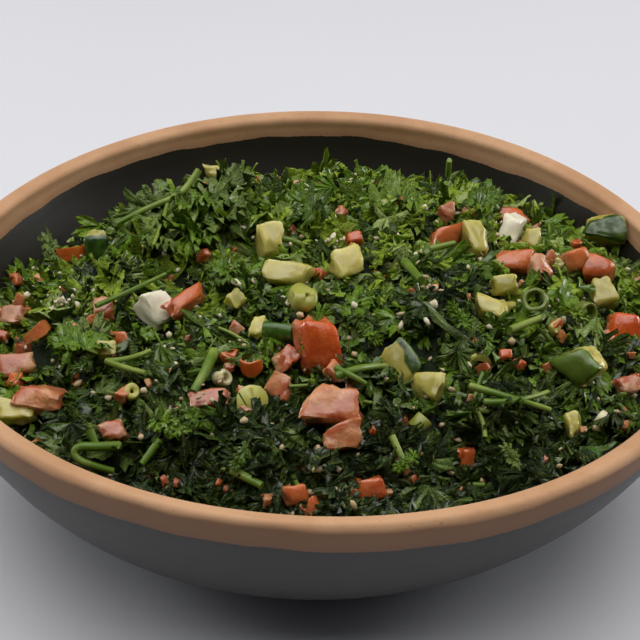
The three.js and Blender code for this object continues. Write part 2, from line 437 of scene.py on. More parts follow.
grid_x, grid_y = np.meshgrid(reach, reach, indexing="ij")
for px, py, radius, depth in HOLLOWS:
    middle = on_heap(px, py)
    away = np.hypot(grid_x - middle.x, grid_y - middle.y) / (radius / 1000)
    heap = heap - depth / 1000 * np.exp(-away ** 2)
for column, x in enumerate(reach):
    for row, y in enumerate(reach):
        clump = noise.noise(Vector((x, y, GAPS_SLICE)) / GAPS_WIDTH) * GAPS_CONTRAST
        heap[column, row] -= GAPS_DEPTH * min(max(0.5 - clump, 0), 1)


def inside_wall(points, gap=0.0006):
    """Pulls points in from the wall, so that what leans on the bowl lies against it."""
    x, y, z = points[..., 0], points[..., 1], points[..., 2]
    below = np.clip((INNER_TOP - z) / (INNER_TOP - FLOOR_THICKNESS), 0, 1)
    across = (1 - below ** WALL_FULLNESS) ** (1 / WALL_FULLNESS)
    wall = INNER_FOOT + (INNER_RADIUS - INNER_FOOT) * across - gap
    share = np.clip(z / RIM_HEIGHT, 0, 1)
    wall = wall * (1 - share * OVALITY * np.sin(2 * np.arctan2(y, x)))
    radius = np.hypot(x, y)
    pull = np.where(radius > wall, wall / np.maximum(radius, 1e-6), 1)
    points[..., 0] = x * pull
    points[..., 1] = y * pull
    points[..., 2] = np.minimum(z, top_of_heap + 0.001)
    return points


CORE_RINGS = 90
CORE_TURNS = 200
CORE_SIDE = 0.03       # how far up the wall the core's bottom reaches
CORE_BOTTOM = 0.0075
RELIEF_HEIGHT = 0.0020
RELIEF_SCALE = 260
TOP_MARK = 1           # height given to the points of the top until they are laid on the heap
core = bmesh.new()
rim_point = INNER_RADIUS + 0.001
outline = [(rim_point * ring / CORE_RINGS, TOP_MARK) for ring in range(CORE_RINGS + 1)]
outline += [(rim_point, CORE_SIDE), (INNER_FOOT, CORE_BOTTOM), (0, CORE_BOTTOM)]
line_points = [core.verts.new((radius, 0, height)) for radius, height in outline]
for inner_point, outer_point in zip(line_points, line_points[1:]):
    core.edges.new((inner_point, outer_point))
bmesh.ops.spin(core, geom=core.verts[:] + core.edges[:], axis=(0, 0, 1), cent=(0, 0, 0),
               angle=2 * pi, steps=CORE_TURNS, use_merge=True)
bmesh.ops.remove_doubles(core, verts=core.verts[:], dist=1e-6)
bmesh.ops.recalc_face_normals(core, faces=core.faces[:])
for vertex in core.verts:
    if vertex.co.z > TOP_MARK / 2:
        x, y = vertex.co.x, vertex.co.y
        relief = RELIEF_HEIGHT * noise.fractal(Vector((x, y, 0)) * RELIEF_SCALE, 0.8, 2.1, 4)
        vertex.co.z = looked_up(heap, x, y) - CORE_DEPTH + relief
core_mesh = bpy.data.meshes.new("salad_heap")
core.to_mesh(core_mesh)
core.free()
places = np.empty(len(core_mesh.vertices) * 3)
core_mesh.vertices.foreach_get("co", places)
core_mesh.vertices.foreach_set("co", inside_wall(places.reshape(-1, 3)).ravel())
core_mesh.shade_smooth()
heap_piece = shown("salad_heap", core_mesh)
packed = Finish("packed_herb_painted_shade", Roughness=0.8)
herb_grain = packed.grain(420, 4, 0.7)
herb_patch = packed.grain(120, 3)
# Painted shade: the packed herb is painted near-black green, for the shade deep in the heap.
herb = packed.layers(paint(12, 24, 2), (herb_patch.between(0.35, 0.7), 34, 56, 6),
                     (herb_grain.between(0.55, 0.8), 66, 88, 16))
packed.wear(Base_Color=herb, Normal=packed.bump(herb_grain, 0.8, 0.001))
core_mesh.materials.append(packed.material)
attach(heap_piece, "root")
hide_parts("salad")


# Diced pieces are cut first, because the herb lies round and partly over them. Each is a block
# with uneven corners; one side keeps the skin. Tomato is soft, so its corners round off.
BLOCK_SIDE = 1.1       # shares of the block's size, from here on
CORNER_SHIFT = 0.18
CHIPPED = (0.45, 0.8)  # what is left of the two corners that are cut away
EDGE_ROUND = (0.10, 0.12)
LONG_EDGE = 0.35
SKIN_FROM = 0.22
SKIN_BULGE = 0.14
SKIN_ROUGH, FLESH_ROUGH = 0.02, 0.07
WIDE_LUMPS, FINE_LUMPS = 3.4, 9.5


def taken(shape, layer=None):
    """The points and corners of a finished small shape, and its points' values in a layer."""
    places = np.array([vertex.co[:] for vertex in shape.verts])
    faces = np.array([[v.index for v in face.verts] for face in shape.faces])
    values = np.zeros(len(places)) if layer is None else np.array([v[layer] for v in shape.verts])
    shape.free()
    return places, faces, values


def block(seed, size, soft, skinned, lumps, cuts=2):
    """A hand-cut block of that size in metres: bent, with bevelled edges and skin on one side."""
    rng = np.random.default_rng(seed)
    shape = bmesh.new()
    bmesh.ops.create_cube(shape, size=BLOCK_SIDE)
    shape.verts.ensure_lookup_table()
    for vertex in shape.verts:
        vertex.co += Vector(rng.uniform(-CORNER_SHIFT, CORNER_SHIFT, 3))
    for corner in rng.choice(8, 2, replace=False):
        shape.verts[corner].co *= rng.uniform(*CHIPPED)
    bmesh.ops.bevel(shape, geom=shape.edges[:] + shape.verts[:], affect="EDGES", segments=2,
                    offset=EDGE_ROUND[0] + EDGE_ROUND[1] * soft, profile=0.5, material=-1)
    bmesh.ops.triangulate(shape, faces=shape.faces[:])
    long = [edge for edge in shape.edges if edge.calc_length() > LONG_EDGE]
    bmesh.ops.subdivide_edges(shape, edges=long, cuts=cuts, use_grid_fill=True)
    bmesh.ops.triangulate(shape, faces=shape.faces[:])
    shape.normal_update()
    skin = shape.verts.layers.float.new("skin")
    shift = Vector(rng.uniform(0, 50, 3))
    for vertex in shape.verts:
        is_skin = skinned and vertex.co.z > SKIN_FROM
        vertex[skin] = 1.0 if is_skin else 0.0
        rough = (SKIN_ROUGH if is_skin else FLESH_ROUGH) * (0.5 + soft)
        vertex.co += vertex.normal * rough * noise.noise(vertex.co * WIDE_LUMPS + shift) * 2
        vertex.co += vertex.normal * rough * noise.noise(vertex.co * FINE_LUMPS - shift) * lumps
        if is_skin:
            # Skin bulges, as it follows the whole fruit.
            vertex.co.z += SKIN_BULGE * (1 - 2 * (vertex.co.x ** 2 + vertex.co.y ** 2))
    for vertex in shape.verts:
        vertex.co = Vector((vertex.co.x * size[0], vertex.co.y * size[1], vertex.co.z * size[2]))
    bmesh.ops.recalc_face_normals(shape, faces=shape.faces[:])
    return taken(shape, skin)


def turned(heading, tip, lean):
    """A turn: heading about the vertical, then tipping forward and leaning sideways, in degrees."""
    turn = Matrix.Rotation(radians(heading), 3, "Z") @ Matrix.Rotation(radians(tip), 3, "X")
    return np.array(turn @ Matrix.Rotation(radians(lean), 3, "Y"))


def joined(name, parts, finish, smooth_angle=None):
    """One piece from many small closed shapes: (places, faces, {attribute: per-point values})."""
    mesh = bpy.data.meshes.new(name)
    start, all_places, all_faces = 0, [], []
    kept = {}
    for places, faces, given in parts:
        all_places.append(places.reshape(-1, 3))
        all_faces.append(faces + start)
        start += len(all_places[-1])
        for key, numbers in given.items():
            kept.setdefault(key, []).append(np.broadcast_to(numbers, len(all_places[-1])))
    points, corners = np.concatenate(all_places), np.concatenate(all_faces)
    mesh.vertices.add(len(points))
    mesh.vertices.foreach_set("co", points.astype(np.float32).ravel())
    mesh.loops.add(len(corners) * 3)
    mesh.loops.foreach_set("vertex_index", corners.astype(np.int32).ravel())
    mesh.polygons.add(len(corners))
    mesh.polygons.foreach_set("loop_start", np.arange(0, len(corners) * 3, 3, dtype=np.int32))
    mesh.update(calc_edges=True)
    mesh.validate()
    for key, numbers in kept.items():
        layer = mesh.attributes.new(key, "FLOAT", "POINT")
        layer.data.foreach_set("value", np.concatenate(numbers).astype(np.float32))
    mesh.shade_smooth()
    if smooth_angle:
        mesh.set_sharp_from_angle(angle=radians(smooth_angle))
    piece = shown(name, mesh)
    mesh.materials.append(finish)
    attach(piece, "root")


clearings = []        # what each placed piece keeps free in front of itself
placed = []           # middle, turn and half size of each placed piece


def set_down(shape, px, py, turn, rise, clear):
    """Moves a shape to where it is seen at a point of the picture, a little above the heap."""
    places, faces, given = shape
    at = on_heap(px, py)
    start = Vector(CAMERA_PLACE)
    at = at + (start - at).normalized() * rise
    if clear:
        clearings.append((px, py, clear, (start - at).length))
    placed.append((np.array(at), turn, abs(places).max(0)))
    moved = places @ turn.T + np.array(at)
    return inside_wall(moved), faces, given


STREWN_RADIUS = 0.101
SLID_SHARE = 0.10
SLID_ACROSS, SLID_ALONG = (-0.040, 0.042), (-0.093, -0.070)
SLOPE_STEP = 0.002


def strewn_spots(rng, count, lift):
    """Random places over the heap: (x, y, z) and the heap's slope there."""
    radius = STREWN_RADIUS * np.sqrt(rng.uniform(0, 1, count))
    angle = rng.uniform(0, 2 * pi, count)
    x, y = radius * np.cos(angle), radius * np.sin(angle)
    # The heap falls away steeply at the front, and a share of the pieces has slid down there.
    slid = rng.uniform(0, 1, count) < SLID_SHARE
    x = np.where(slid, rng.uniform(*SLID_ACROSS, count), x)
    y = np.where(slid, rng.uniform(*SLID_ALONG, count), y)
    d = SLOPE_STEP
    slope_x = (looked_up(heap, x + d, y) - looked_up(heap, x - d, y)) / (2 * d)
    slope_y = (looked_up(heap, x, y + d) - looked_up(heap, x, y - d)) / (2 * d)
    normal = np.stack([-slope_x, -slope_y, np.ones(count)], 1)
    normal /= np.linalg.norm(normal, axis=1, keepdims=True)
    spots = np.stack([x, y, looked_up(heap, x, y)], 1) + normal * lift[:, None]
    return spots, normal


# In these gaps the core shows, and its painted shade makes them dark.
DARK_HOLLOWS = (  # deep gaps with nothing in them: middle in the picture and radius in its points
    (190, 270, 10), (266, 214, 8), (436, 348, 8), (452, 480, 5), (508, 462, 5), (216, 346, 5),
    (150, 350, 4),
)
clearings += [(*hollow, 1.0) for hollow in DARK_HOLLOWS]
BEHIND_PIECE = 0.004   # a clearing ends this far behind the piece's middle


def not_in_clearing(spots, margin=1.0):
    """Which spots leave the placed pieces in sight: not in front of one, within its clearing."""
    seen = (spots - np.array(CAMERA_PLACE)) @ np.array(aim.to_3x3())
    px = PICTURE / 2 + LENS_PIXELS * seen[:, 0] / -seen[:, 2]
    py = PICTURE / 2 - LENS_PIXELS * seen[:, 1] / -seen[:, 2]
    distance = np.linalg.norm(seen, axis=1)
    free = np.ones(len(spots), bool)
    for at_x, at_y, clear, depth in clearings:
        near = np.hypot(px - at_x, py - at_y) < clear * margin
        free &= ~(near & (distance < depth + BEHIND_PIECE))
    return free


CUT_SHARE = 0.92       # leaves may touch the outer part of a placed piece, but not its body


def cut_by_placed(world):
    """Which of these shapes would run through a placed piece."""
    cut = np.zeros(len(world), bool)
    for middle, turn, half in placed:
        near = np.flatnonzero(abs(world - middle).max(2).min(1) < half.max())
        share = abs((world[near] - middle) @ turn) / (half * CUT_SHARE)
        cut[near] |= ((share.max(2) < 1) & (world[near, :, 2] > middle[2])).any(1)
    return cut


WIDTHS = (0.85, 1.15)
FOLD_SHARE = 1.2
RIPPLE = (0.20, 5)     # depth and how closely the waves follow
FACING = (0, -0.3, 0)  # the loose pieces lean a little to the front
DROOP_FROM = 0.25      # steeper tips hang down instead
TONE_CURVE = 0.75
# Painted shade: how far the tone of strewn pieces drops towards the front of the heap.
SHADE_MIDDLE, SHADE_RISE, SHADE_LIMITS = 1.25, 13, (0.05, 1.4)


def strewn(shapes, rng, spots, normal, sizes, tilt, bend):
    """Copies of flat shapes laid on spots, each with its own size, heading, tilt and bend."""
    parts = []
    kind = rng.integers(0, len(shapes), len(spots))
    for number, (places, faces, ribs) in enumerate(shapes):
        chosen = np.flatnonzero(kind == number)
        count = len(chosen)
        if not count:
            continue
        size = sizes[chosen][:, None]
        local = np.repeat(places[None], count, 0)
        local[..., 0] *= rng.uniform(*WIDTHS, (count, 1))
        cup = rng.normal(0, bend, (count, 1))
        fold = rng.normal(0, bend, (count, 1))
        wave = rng.uniform(0, 2 * pi, (count, 1))
        local[..., 2] += cup * local[..., 1] ** 2 + fold * abs(local[..., 0]) * FOLD_SHARE
        local[..., 2] += RIPPLE[0] * np.sin(local[..., 1] * RIPPLE[1] + wave) * bend
        middle = local.mean(1, keepdims=True)
        local = (local - middle) * size[..., None]
        up = normal[chosen] + rng.normal(0, 1, (count, 3)) * tilt + np.array(FACING)
        up /= np.linalg.norm(up, axis=1, keepdims=True)
        side = np.cross(up, rng.normal(0, 1, (count, 3)))
        side /= np.linalg.norm(side, axis=1, keepdims=True)
        ahead = np.cross(up, side)
        droop = np.where(ahead[:, 2:3] > DROOP_FROM, -1, 1)
        side, ahead = side * droop, ahead * droop
        world = (local[..., 0:1] * side[:, None] + local[..., 1:2] * ahead[:, None]
                 + local[..., 2:3] * up[:, None] + spots[chosen][:, None])
        world = inside_wall(world)
        world = world[~cut_by_placed(world)]
        count = len(world)
        step = np.arange(count)[:, None, None] * len(places)
        all_faces = (faces[None] + step).reshape(-1, 3)
        # The pieces at the front are painted darkest: their tone is scaled down there as painted
        # shade, for the heap shading them.
        light = np.clip(SHADE_MIDDLE + world[:, 0, 1] * SHADE_RISE, *SHADE_LIMITS)
        tone = np.repeat(rng.uniform(0, 1, count) ** TONE_CURVE * light, len(places))
        parts.append((world, all_faces, {"tone": tone, "rib": np.tile(ribs, count)}))
    return parts


# Tomato: ripe and firm, cut into dice of 10 to 15 mm with their skin on. The dressing has drawn
# juice, so the cut faces are pale salmon and wet, and the skins are orange-red and shiny.
TOMATO = (  # place in the picture, size in mm, heading, tip and lean, redness, clearing
    (314, 350, (8.2, 12.4, 8.4), (14, 58, 8), 0.95, 18),
    (336, 406, (11.4, 8.4, 6.8), (-12, 34, 5), 0.45, 15),
    (341, 436, (8.8, 5.8, 5.4), (15, 44, -10), 0.36, 10),
    (444, 240, (11.2, 7.2, 7.2), (10, 55, 10), 0.60, 14),
    (508, 262, (11.2, 7.2, 6.4), (-8, 35, 0), 0.55, 14),
    (536, 273, (4.8, 6.4, 6.4), (30, 20, 10), 0.25, 8),
    (577, 262, (7.2, 6.4, 5.6), (25, 40, 0), 0.55, 9),
    (603, 270, (9.6, 7.2, 6.4), (-20, 30, 8), 0.60, 13),
    (510, 217, (9.6, 5.6, 4.8), (5, 30, 0), 0.80, 12),
    (623, 332, (8.8, 8, 8), (-10, 60, 10), 1.00, 13),
    (188, 299, (11.4, 5.2, 4.4), (44, 20, 0), 0.70, 13),
    (202, 190, (3.2, 5.6, 3.2), (-15, 60, 0), 0.90, 4),
    (40, 399, (13.6, 6.4, 5.6), (-22, 40, 0), 0.40, 15),
    (210, 400, (9, 5, 4), (10, 30, 0), 0.00, 10),
    (281, 386, (6.4, 5.4, 4.8), (-35, 45, 0), 0.35, 9),
    (286, 358, (4.8, 4.8, 4.8), (40, 30, 10), 0.25, 7),
    (113, 432, (5.6, 4.8, 4), (20, 30, 0), 0.08, 6),
    (103, 309, (4.8, 7.2, 4), (10, 20, 0), 0.15, 7),
    (14, 315, (6.4, 4.8, 4), (0, 30, 0), 0.10, 7),
    (20, 366, (8.8, 5.6, 4.8), (10, 30, 0), 0.15, 10),
    (353, 239, (4, 4, 3.2), (10, 30, 0), 0.85, 5),
    (449, 213, (4.8, 4, 4), (30, 30, 0), 0.10, 6),
    (505, 355, (2.8, 2.8, 2.4), (10, 30, 0), 0.80, 4),
    (519, 363, (2.4, 3.2, 2.4), (40, 20, 0), 0.70, 4),
    (369, 490, (6.4, 4.8, 4), (10, 60, 0), 0.55, 0),
    (296, 494, (5.6, 4, 3.2), (30, 60, 0), 0.60, 0),
    (628, 385, (5.6, 4.8, 4), (30, 30, 0), 0.08, 6),
    (297, 188, (4, 3.2, 3.2), (30, 30, 0), 0.05, 4),
    (340, 214, (4, 3.2, 3.2), (60, 30, 0), 0.08, 4),
)
SKINNED_FROM = 0.52     # dice redder than this keep their skin, and are firmer
FIRM, SOFT = 0.5, 0.7
TORN_FLESH = 0.45
DICE_RISE = 0.00018     # in metres for each millimetre of the piece's height
CURLS = (  # bare skin: place, length and width in mm, degrees of bend, turn, redness, clearing
    (71, 252, 19, 4, 235, (12, 78, 4), 0.9, 12),
    (250, 367, 9, 5, 170, (-20, 100, 10), 0.6, 11),
    (204, 190, 9, 3, 80, (-10, 60, 80), 1.0, 5),
    (40, 330, 12, 4, 120, (60, 50, 0), 0.5, 8),
)
tomato = Finish("tomato_flesh", IOR=1.42)
red = tomato.own("red")
skin = tomato.own("skin")
pulp = tomato.grain(230, 3)
streak = tomato.grain(900, 3, 0.7)
deep_pulp = tomato.grain(110, 2)
flesh = tomato.layers(
    paint(176, 130, 98),
    (red.between(0.0, 0.35), 200, 138, 92),
    (red.between(0.2, 1.0), 196, 96, 50),
    (pulp.between(0.50, 0.62) * 0.5, 226, 166, 122),
    (streak.between(0.55, 0.75) * 0.7, 232, 200, 172),
    (deep_pulp.between(0.46, 0.60) * 0.7, 178, 76, 34),
)
peel = tomato.layers(
    paint(200, 140, 88),
    (red, 206, 90, 32),
    (deep_pulp.between(0.4, 0.65) * 0.6, 176, 62, 18),
    (pulp.between(0.5, 0.75) * 0.5, 224, 126, 70),
)
tomato.wear(
    Base_Color=tomato.blend(skin, flesh, peel),
    Roughness=0.34 - skin * 0.12 + (streak - 0.5) * 0.15,
    Subsurface_Weight=0.4,
    Subsurface_Radius=(0.004, 0.002, 0.001),
    Subsurface_Scale=1.0,
    Coat_Weight=deep_pulp.between(0.35, 0.55),
    Coat_Roughness=0.10,
    Normal=tomato.bump(streak * 0.3 + pulp * 1.5, 0.4, 0.0011),
)
parts = []
for number, (px, py, size, turn, redness, clear) in enumerate(TOMATO):
    skinned = redness > SKINNED_FROM
    places, faces, skins = block(number + 10, [s / 1000 for s in size], FIRM if skinned else SOFT,
                                 skinned, TORN_FLESH)
    shape = (places, faces, {"skin": skins, "red": redness})
    parts.append(set_down(shape, px, py, turned(*turn), size[2] * DICE_RISE, clear))
CURL_THICKNESS = 0.10   # as a share of its width, as are the next two
CURL_TAPER = 0.5
CURL_WOBBLE = 0.12
CURL_RISE = 0.0025
for number, (px, py, length, width, bend, turn, redness, clear) in enumerate(CURLS):
    strip = bmesh.new()
    bmesh.ops.create_grid(strip, x_segments=14, y_segments=3, size=0.5)
    bmesh.ops.solidify(strip, geom=strip.faces[:], thickness=CURL_THICKNESS)
    bmesh.ops.triangulate(strip, faces=strip.faces[:])
    bmesh.ops.recalc_face_normals(strip, faces=strip.faces[:])
    for vertex in strip.verts:
        x, y, z = vertex.co
        angle = radians(bend) * x
        radius = length / radians(bend) + z * width
        taper = 1 - CURL_TAPER * abs(2 * x) ** 2
        wobble = CURL_WOBBLE * noise.noise(Vector((x * 4, y * 3, number)))
        aside = y * width * taper + wobble * width
        vertex.co = Vector((sin(angle) * radius, aside, cos(angle) * radius)) / 1000
    places, faces, _ = taken(strip)
    places -= places.mean(0)
    shape = (places, faces, {"skin": 1.0, "red": redness})
    parts.append(set_down(shape, px, py, turned(*turn), CURL_RISE, clear))
CRUMBS = 190
CRUMB_SHAPES = 8
CRUMB_SIZE, CRUMB_MORE = 0.0018, 0.0034
CRUMB_LIFT = (-0.003, 0.0012)
crumbs = [block(140 + n, (1, 0.8, 0.7), soft=0.6, skinned=False, lumps=1, cuts=1)
          for n in range(CRUMB_SHAPES)]
draw = np.random.default_rng(8)
spots, normal = strewn_spots(draw, CRUMBS, draw.uniform(*CRUMB_LIFT, CRUMBS))
for number, spot in enumerate(spots):
    places, faces, _ = crumbs[number % CRUMB_SHAPES]
    size = CRUMB_SIZE + CRUMB_MORE * draw.uniform(0, 1) ** 2
    turn = turned(*draw.uniform(0, 180, 3))
    given = {"skin": draw.uniform(0, 1) > 0.7, "red": draw.uniform(0, 0.7)}
    parts.append((inside_wall(places @ turn.T * size + spot), faces, given))
joined("tomato_dice", parts, tomato.material, smooth_angle=55)


# Cucumber: peeled in stripes and diced at about 10 mm. The flesh is pale yellow-green and wet,
# glassy towards the seeds, and some dice keep dark green skin on one side.
CRISP = 0.5             # its corners stay sharper than the tomato's
SMOOTH_CUT = 0.2
CUCUMBER_RISE = 0.00015
CUCUMBER = (  # place, size in mm, heading, tip and lean, skinned or not, paleness, clearing
    (16, 411, (8.8, 6.4, 4), (5, 20, 0), 0, 0.8, 12),
    (270, 245, (7.2, 8.8, 8), (15, 35, 0), 0, 0.8, 12),
    (288, 277, (11.2, 6.4, 5.6), (-8, 30, 0), 0, 0.6, 13),
    (344, 264, (8.8, 8, 6.4), (30, 30, 0), 0, 0.9, 12),
    (217, 173, (8, 5.6, 5.6), (0, 40, 0), 0, 0.6, 9),
    (604, 227, (11.0, 10.0, 6.4), (-14, 42, 0), 1, 0.5, 14),
    (476, 240, (6.4, 9.6, 5.6), (20, 30, 0), 0, 0.6, 11),
    (530, 240, (5.6, 7.2, 4.8), (-20, 30, 0), 0, 0.6, 6),
    (496, 309, (8.8, 7.2, 6.4), (-15, 30, 0), 0, 0.7, 12),
    (404, 363, (6.4, 9.6, 6.4), (32, 26, 48), 1, 0.5, 13),
    (428, 385, (8.8, 8, 6.4), (-30, 35, 0), 0, 0.6, 12),
    (582, 364, (10.4, 9.6, 7.2), (35, 30, -50), 1, 0.9, 16),
    (603, 295, (6.4, 7.2, 4.8), (10, 30, 0), 0, 0.5, 9),
    (573, 425, (4.8, 7.2, 4.8), (10, 30, 0), 0, 0.5, 8),
    (107, 351, (5.6, 4, 4), (10, 30, 0), 0, 0.4, 6),
    (97, 250, (6.4, 9.6, 3.6), (15, 72, -20), 1, 0.2, 11),
    (555, 328, (3.2, 3.2, 3.2), (30, 30, 0), 0, 0.8, 4),
    (256, 325, (4, 6.4, 3.2), (-20, 30, 0), 0, 1.0, 7),
    (505, 287, (7.2, 4.8, 4), (10, 30, 0), 0, 0.3, 8),
    (236, 300, (4.8, 4, 3.2), (50, 30, 0), 0, 0.2, 5),
)
cucumber = Finish("cucumber_flesh", IOR=1.4)
peeled = cucumber.own("pale")
rind = cucumber.own("skin").between(0.3, 0.7)
wet_grain = cucumber.grain(320, 3)
seed_grain = cucumber.grain(700, 2)
cut_face = cucumber.layers(
    paint(144, 138, 46),
    (peeled, 206, 192, 108),
    (wet_grain.between(0.45, 0.7) * 0.5, 168, 164, 70),
    (seed_grain.between(0.62, 0.78) * 0.4, 206, 196, 140),
)
green_skin = cucumber.layers(
    paint(34, 62, 12),
    (wet_grain.between(0.4, 0.7), 66, 100, 24),
    (peeled.between(0.3, 1.0) * 0.7, 106, 128, 44),
)
cucumber.wear(
    Base_Color=cucumber.blend(rind, cut_face, green_skin),
    Roughness=0.34 + (seed_grain - 0.5) * 0.2,
    Subsurface_Weight=0.8,
    Subsurface_Radius=(0.005, 0.005, 0.0025),
    Subsurface_Scale=1.0,
    Coat_Weight=wet_grain.between(0.35, 0.55),
    Coat_Roughness=0.12,
    Normal=cucumber.bump(seed_grain * 0.3 + wet_grain, 0.3, 0.0006),
)
parts = []
for number, (px, py, size, turn, skinned, pale, clear) in enumerate(CUCUMBER):
    places, faces, skins = block(number + 60, [s / 1000 for s in size], CRISP, skinned, SMOOTH_CUT)
    shape = (places, faces, {"skin": skins, "pale": pale})
    parts.append(set_down(shape, px, py, turned(*turn), size[2] * CUCUMBER_RISE, clear))
joined("cucumber_dice", parts, cucumber.material, smooth_angle=50)


# Spring onion: the white and green ends, sliced across. Each slice is a thick-walled tube,
# cream and glassy near the root, turning green higher up.
WEDGE = -1              # marks a piece of the root end, which is cut into wedges
ONION = (  # place, outer and inner radius and length in mm, turn, greenness, clearing
    (155, 313, 3.9, WEDGE, 6.8, (45, 34, 0), 0.05, 15),
    (512, 230, 3.4, WEDGE, 6.4, (-38, 62, 8), 0.02, 12),
    (278, 332, 2.6, 1.9, 8, (75, 90, 0), 1.0, 14),
    (302, 298, 4.0, 0.4, 9, (25, 48, 0), 0.62, 14),
    (536, 301, 3.6, 2.4, 3, (-30, 40, 0), 0.8, 10),
    (252, 402, 4.4, 0.0, 1.8, (0, 50, 20), 0.40, 16),
    (586, 312, 3.0, 2.2, 4, (30, 70, 0), 0.8, 8),
    (222, 378, 2.0, 1.0, 4, (50, 60, 0), 0.2, 6),
    (132, 392, 2.2, 0.5, 3, (20, 40, 0), 0.5, 6),
    (420, 424, 2.4, 1.5, 4, (120, 60, 0), 0.7, 7),
)
LOOSE_RINGS = 12
EDGE_SHARE = 0.2        # how much of the wall rounds off at a cut
BULGE = 1.02
FULL_END = 1.25         # a slice without a hole ends in a low cone
TURN_STEPS = 18
SQUEEZE = (0.75, 1.0)
ONION_UNEVEN, ONION_LUMPS = 0.12, 300


def slice_of_onion(seed, outer, inner, length):
    """A slice across a stalk, with rounded cut edges: a closed wall spun round its middle."""
    draw = np.random.default_rng(seed)
    shape = bmesh.new()
    half = length / 2
    soft = (outer - inner) * EDGE_SHARE
    outline = [(inner, -half + soft), (inner + soft, -half), (outer - soft, -half),
               (outer, -half + soft), (outer * BULGE, 0), (outer, half - soft),
               (outer - soft, half), (inner + soft, half), (inner, half - soft)]
    if not inner:
        outline = [(0, -half), *outline[2:7], (0, half * FULL_END)]
    ring = [shape.verts.new((radius, 0, height)) for radius, height in outline]
    for first, second in zip(ring, ring[1:] + ring[:1] if inner else ring[1:]):
        shape.edges.new((first, second))
    bmesh.ops.spin(shape, geom=shape.verts[:] + shape.edges[:], axis=(0, 0, 1), cent=(0, 0, 0),
                   angle=2 * pi, steps=TURN_STEPS, use_merge=True)
    bmesh.ops.remove_doubles(shape, verts=shape.verts[:], dist=outer * 1e-3)
    bmesh.ops.recalc_face_normals(shape, faces=shape.faces[:])
    bmesh.ops.triangulate(shape, faces=shape.faces[:])
    squeeze = draw.uniform(*SQUEEZE)
    shift = Vector(draw.uniform(0, 30, 3))
    for vertex in shape.verts:
        vertex.co.x *= squeeze
        vertex.co += noise.noise_vector(vertex.co * ONION_LUMPS + shift) * outer * ONION_UNEVEN
    return taken(shape)[:2]


onion = Finish("onion_flesh", IOR=1.42, Coat_Roughness=0.1, Coat_Weight=0.5, Subsurface_Weight=0.2,
               Subsurface_Radius=(0.002, 0.002, 0.001), Subsurface_Scale=1.0)
green_share = onion.own("green")
onion_grain = onion.grain(500, 2)
onion_body = onion.layers(
    paint(240, 232, 206),
    (green_share.between(0.0, 0.45), 190, 186, 84),
    (green_share.between(0.45, 0.95), 60, 98, 26),
    (onion_grain.between(0.5, 0.8) * 0.3, 170, 176, 112),
)
onion.wear(Base_Color=onion_body, Roughness=0.3 + onion_grain * 0.15,
           Normal=onion.bump(onion_grain, 0.25, 0.0003))
WEDGE_SIDES = (0.0017, 0.0022)   # in metres for each millimetre of the onion's radius
ONION_RISE = 0.0012
parts = []
for number, (px, py, outer, inner, length, turn, greenness, clear) in enumerate(ONION):
    if inner == WEDGE:
        size = (outer * WEDGE_SIDES[0], outer * WEDGE_SIDES[1], length / 1000)
        places, faces, _ = block(10 - number, size, soft=0.4, skinned=False, lumps=0.3)
    else:
        places, faces = slice_of_onion(number, outer / 1000, inner / 1000, length / 1000)
    shape = (places, faces, {"green": greenness})
    parts.append(set_down(shape, px, py, turned(*turn), ONION_RISE, clear))
draw = np.random.default_rng(5)
spots, normal = strewn_spots(draw, LOOSE_RINGS, draw.uniform(-0.003, -0.001, LOOSE_RINGS))
for number, spot in enumerate(spots):
    outer = draw.uniform(0.002, 0.004)
    inner = outer * draw.uniform(0.1, 0.6)
    places, faces = slice_of_onion(40 + number, outer, inner, draw.uniform(0.002, 0.005))
    turn = turned(*draw.uniform(0, 180, 3))
    parts.append((inside_wall(places @ turn.T + spot), faces, {"green": draw.uniform(0.1, 1)}))
joined("spring_onion", parts, onion.material, smooth_angle=50)


# Parsley: curly-leaved, washed and chopped by hand, so most of it is torn fans and single lobes.
# A fan spreads from its stalk into deep-cut rounded lobes, each cupped and lifted its own way.
FAN_SHAPES = 9
LOBE_SHAPES = 8
SPRAY_SHAPES = 6
LEAF_THICKNESS = 0.03   # at its middle, as a share of the leaf's length, like what follows
SIDE_SHORTER, SIDE_CURVE = 0.26, 1.5
REACH_VARIES = 0.10
LOBE_TWIST = 0.25
JITTER = 0.06
LOBE_WIDENS = (0.8, 0.9, 1)
VEIN_SHOWS = (0, 1, 0.7)
LOBE = (  # notch to notch: share across, reach of edge and of middle, rise of middle and edge
    (-0.50, 0.50, 0.42, -0.05, 0.02),
    (-0.36, 0.80, 0.58, 0.02, -0.13),
    (-0.18, 0.86, 0.60, 0.05, 0.07),
    (0.00, 1.00, 0.62, 0.05, -0.14),
    (0.18, 0.86, 0.60, 0.05, 0.07),
    (0.36, 0.80, 0.58, 0.02, -0.13),
)
VEINED = (1, 3, 5)      # the rows of the table above that a vein runs along


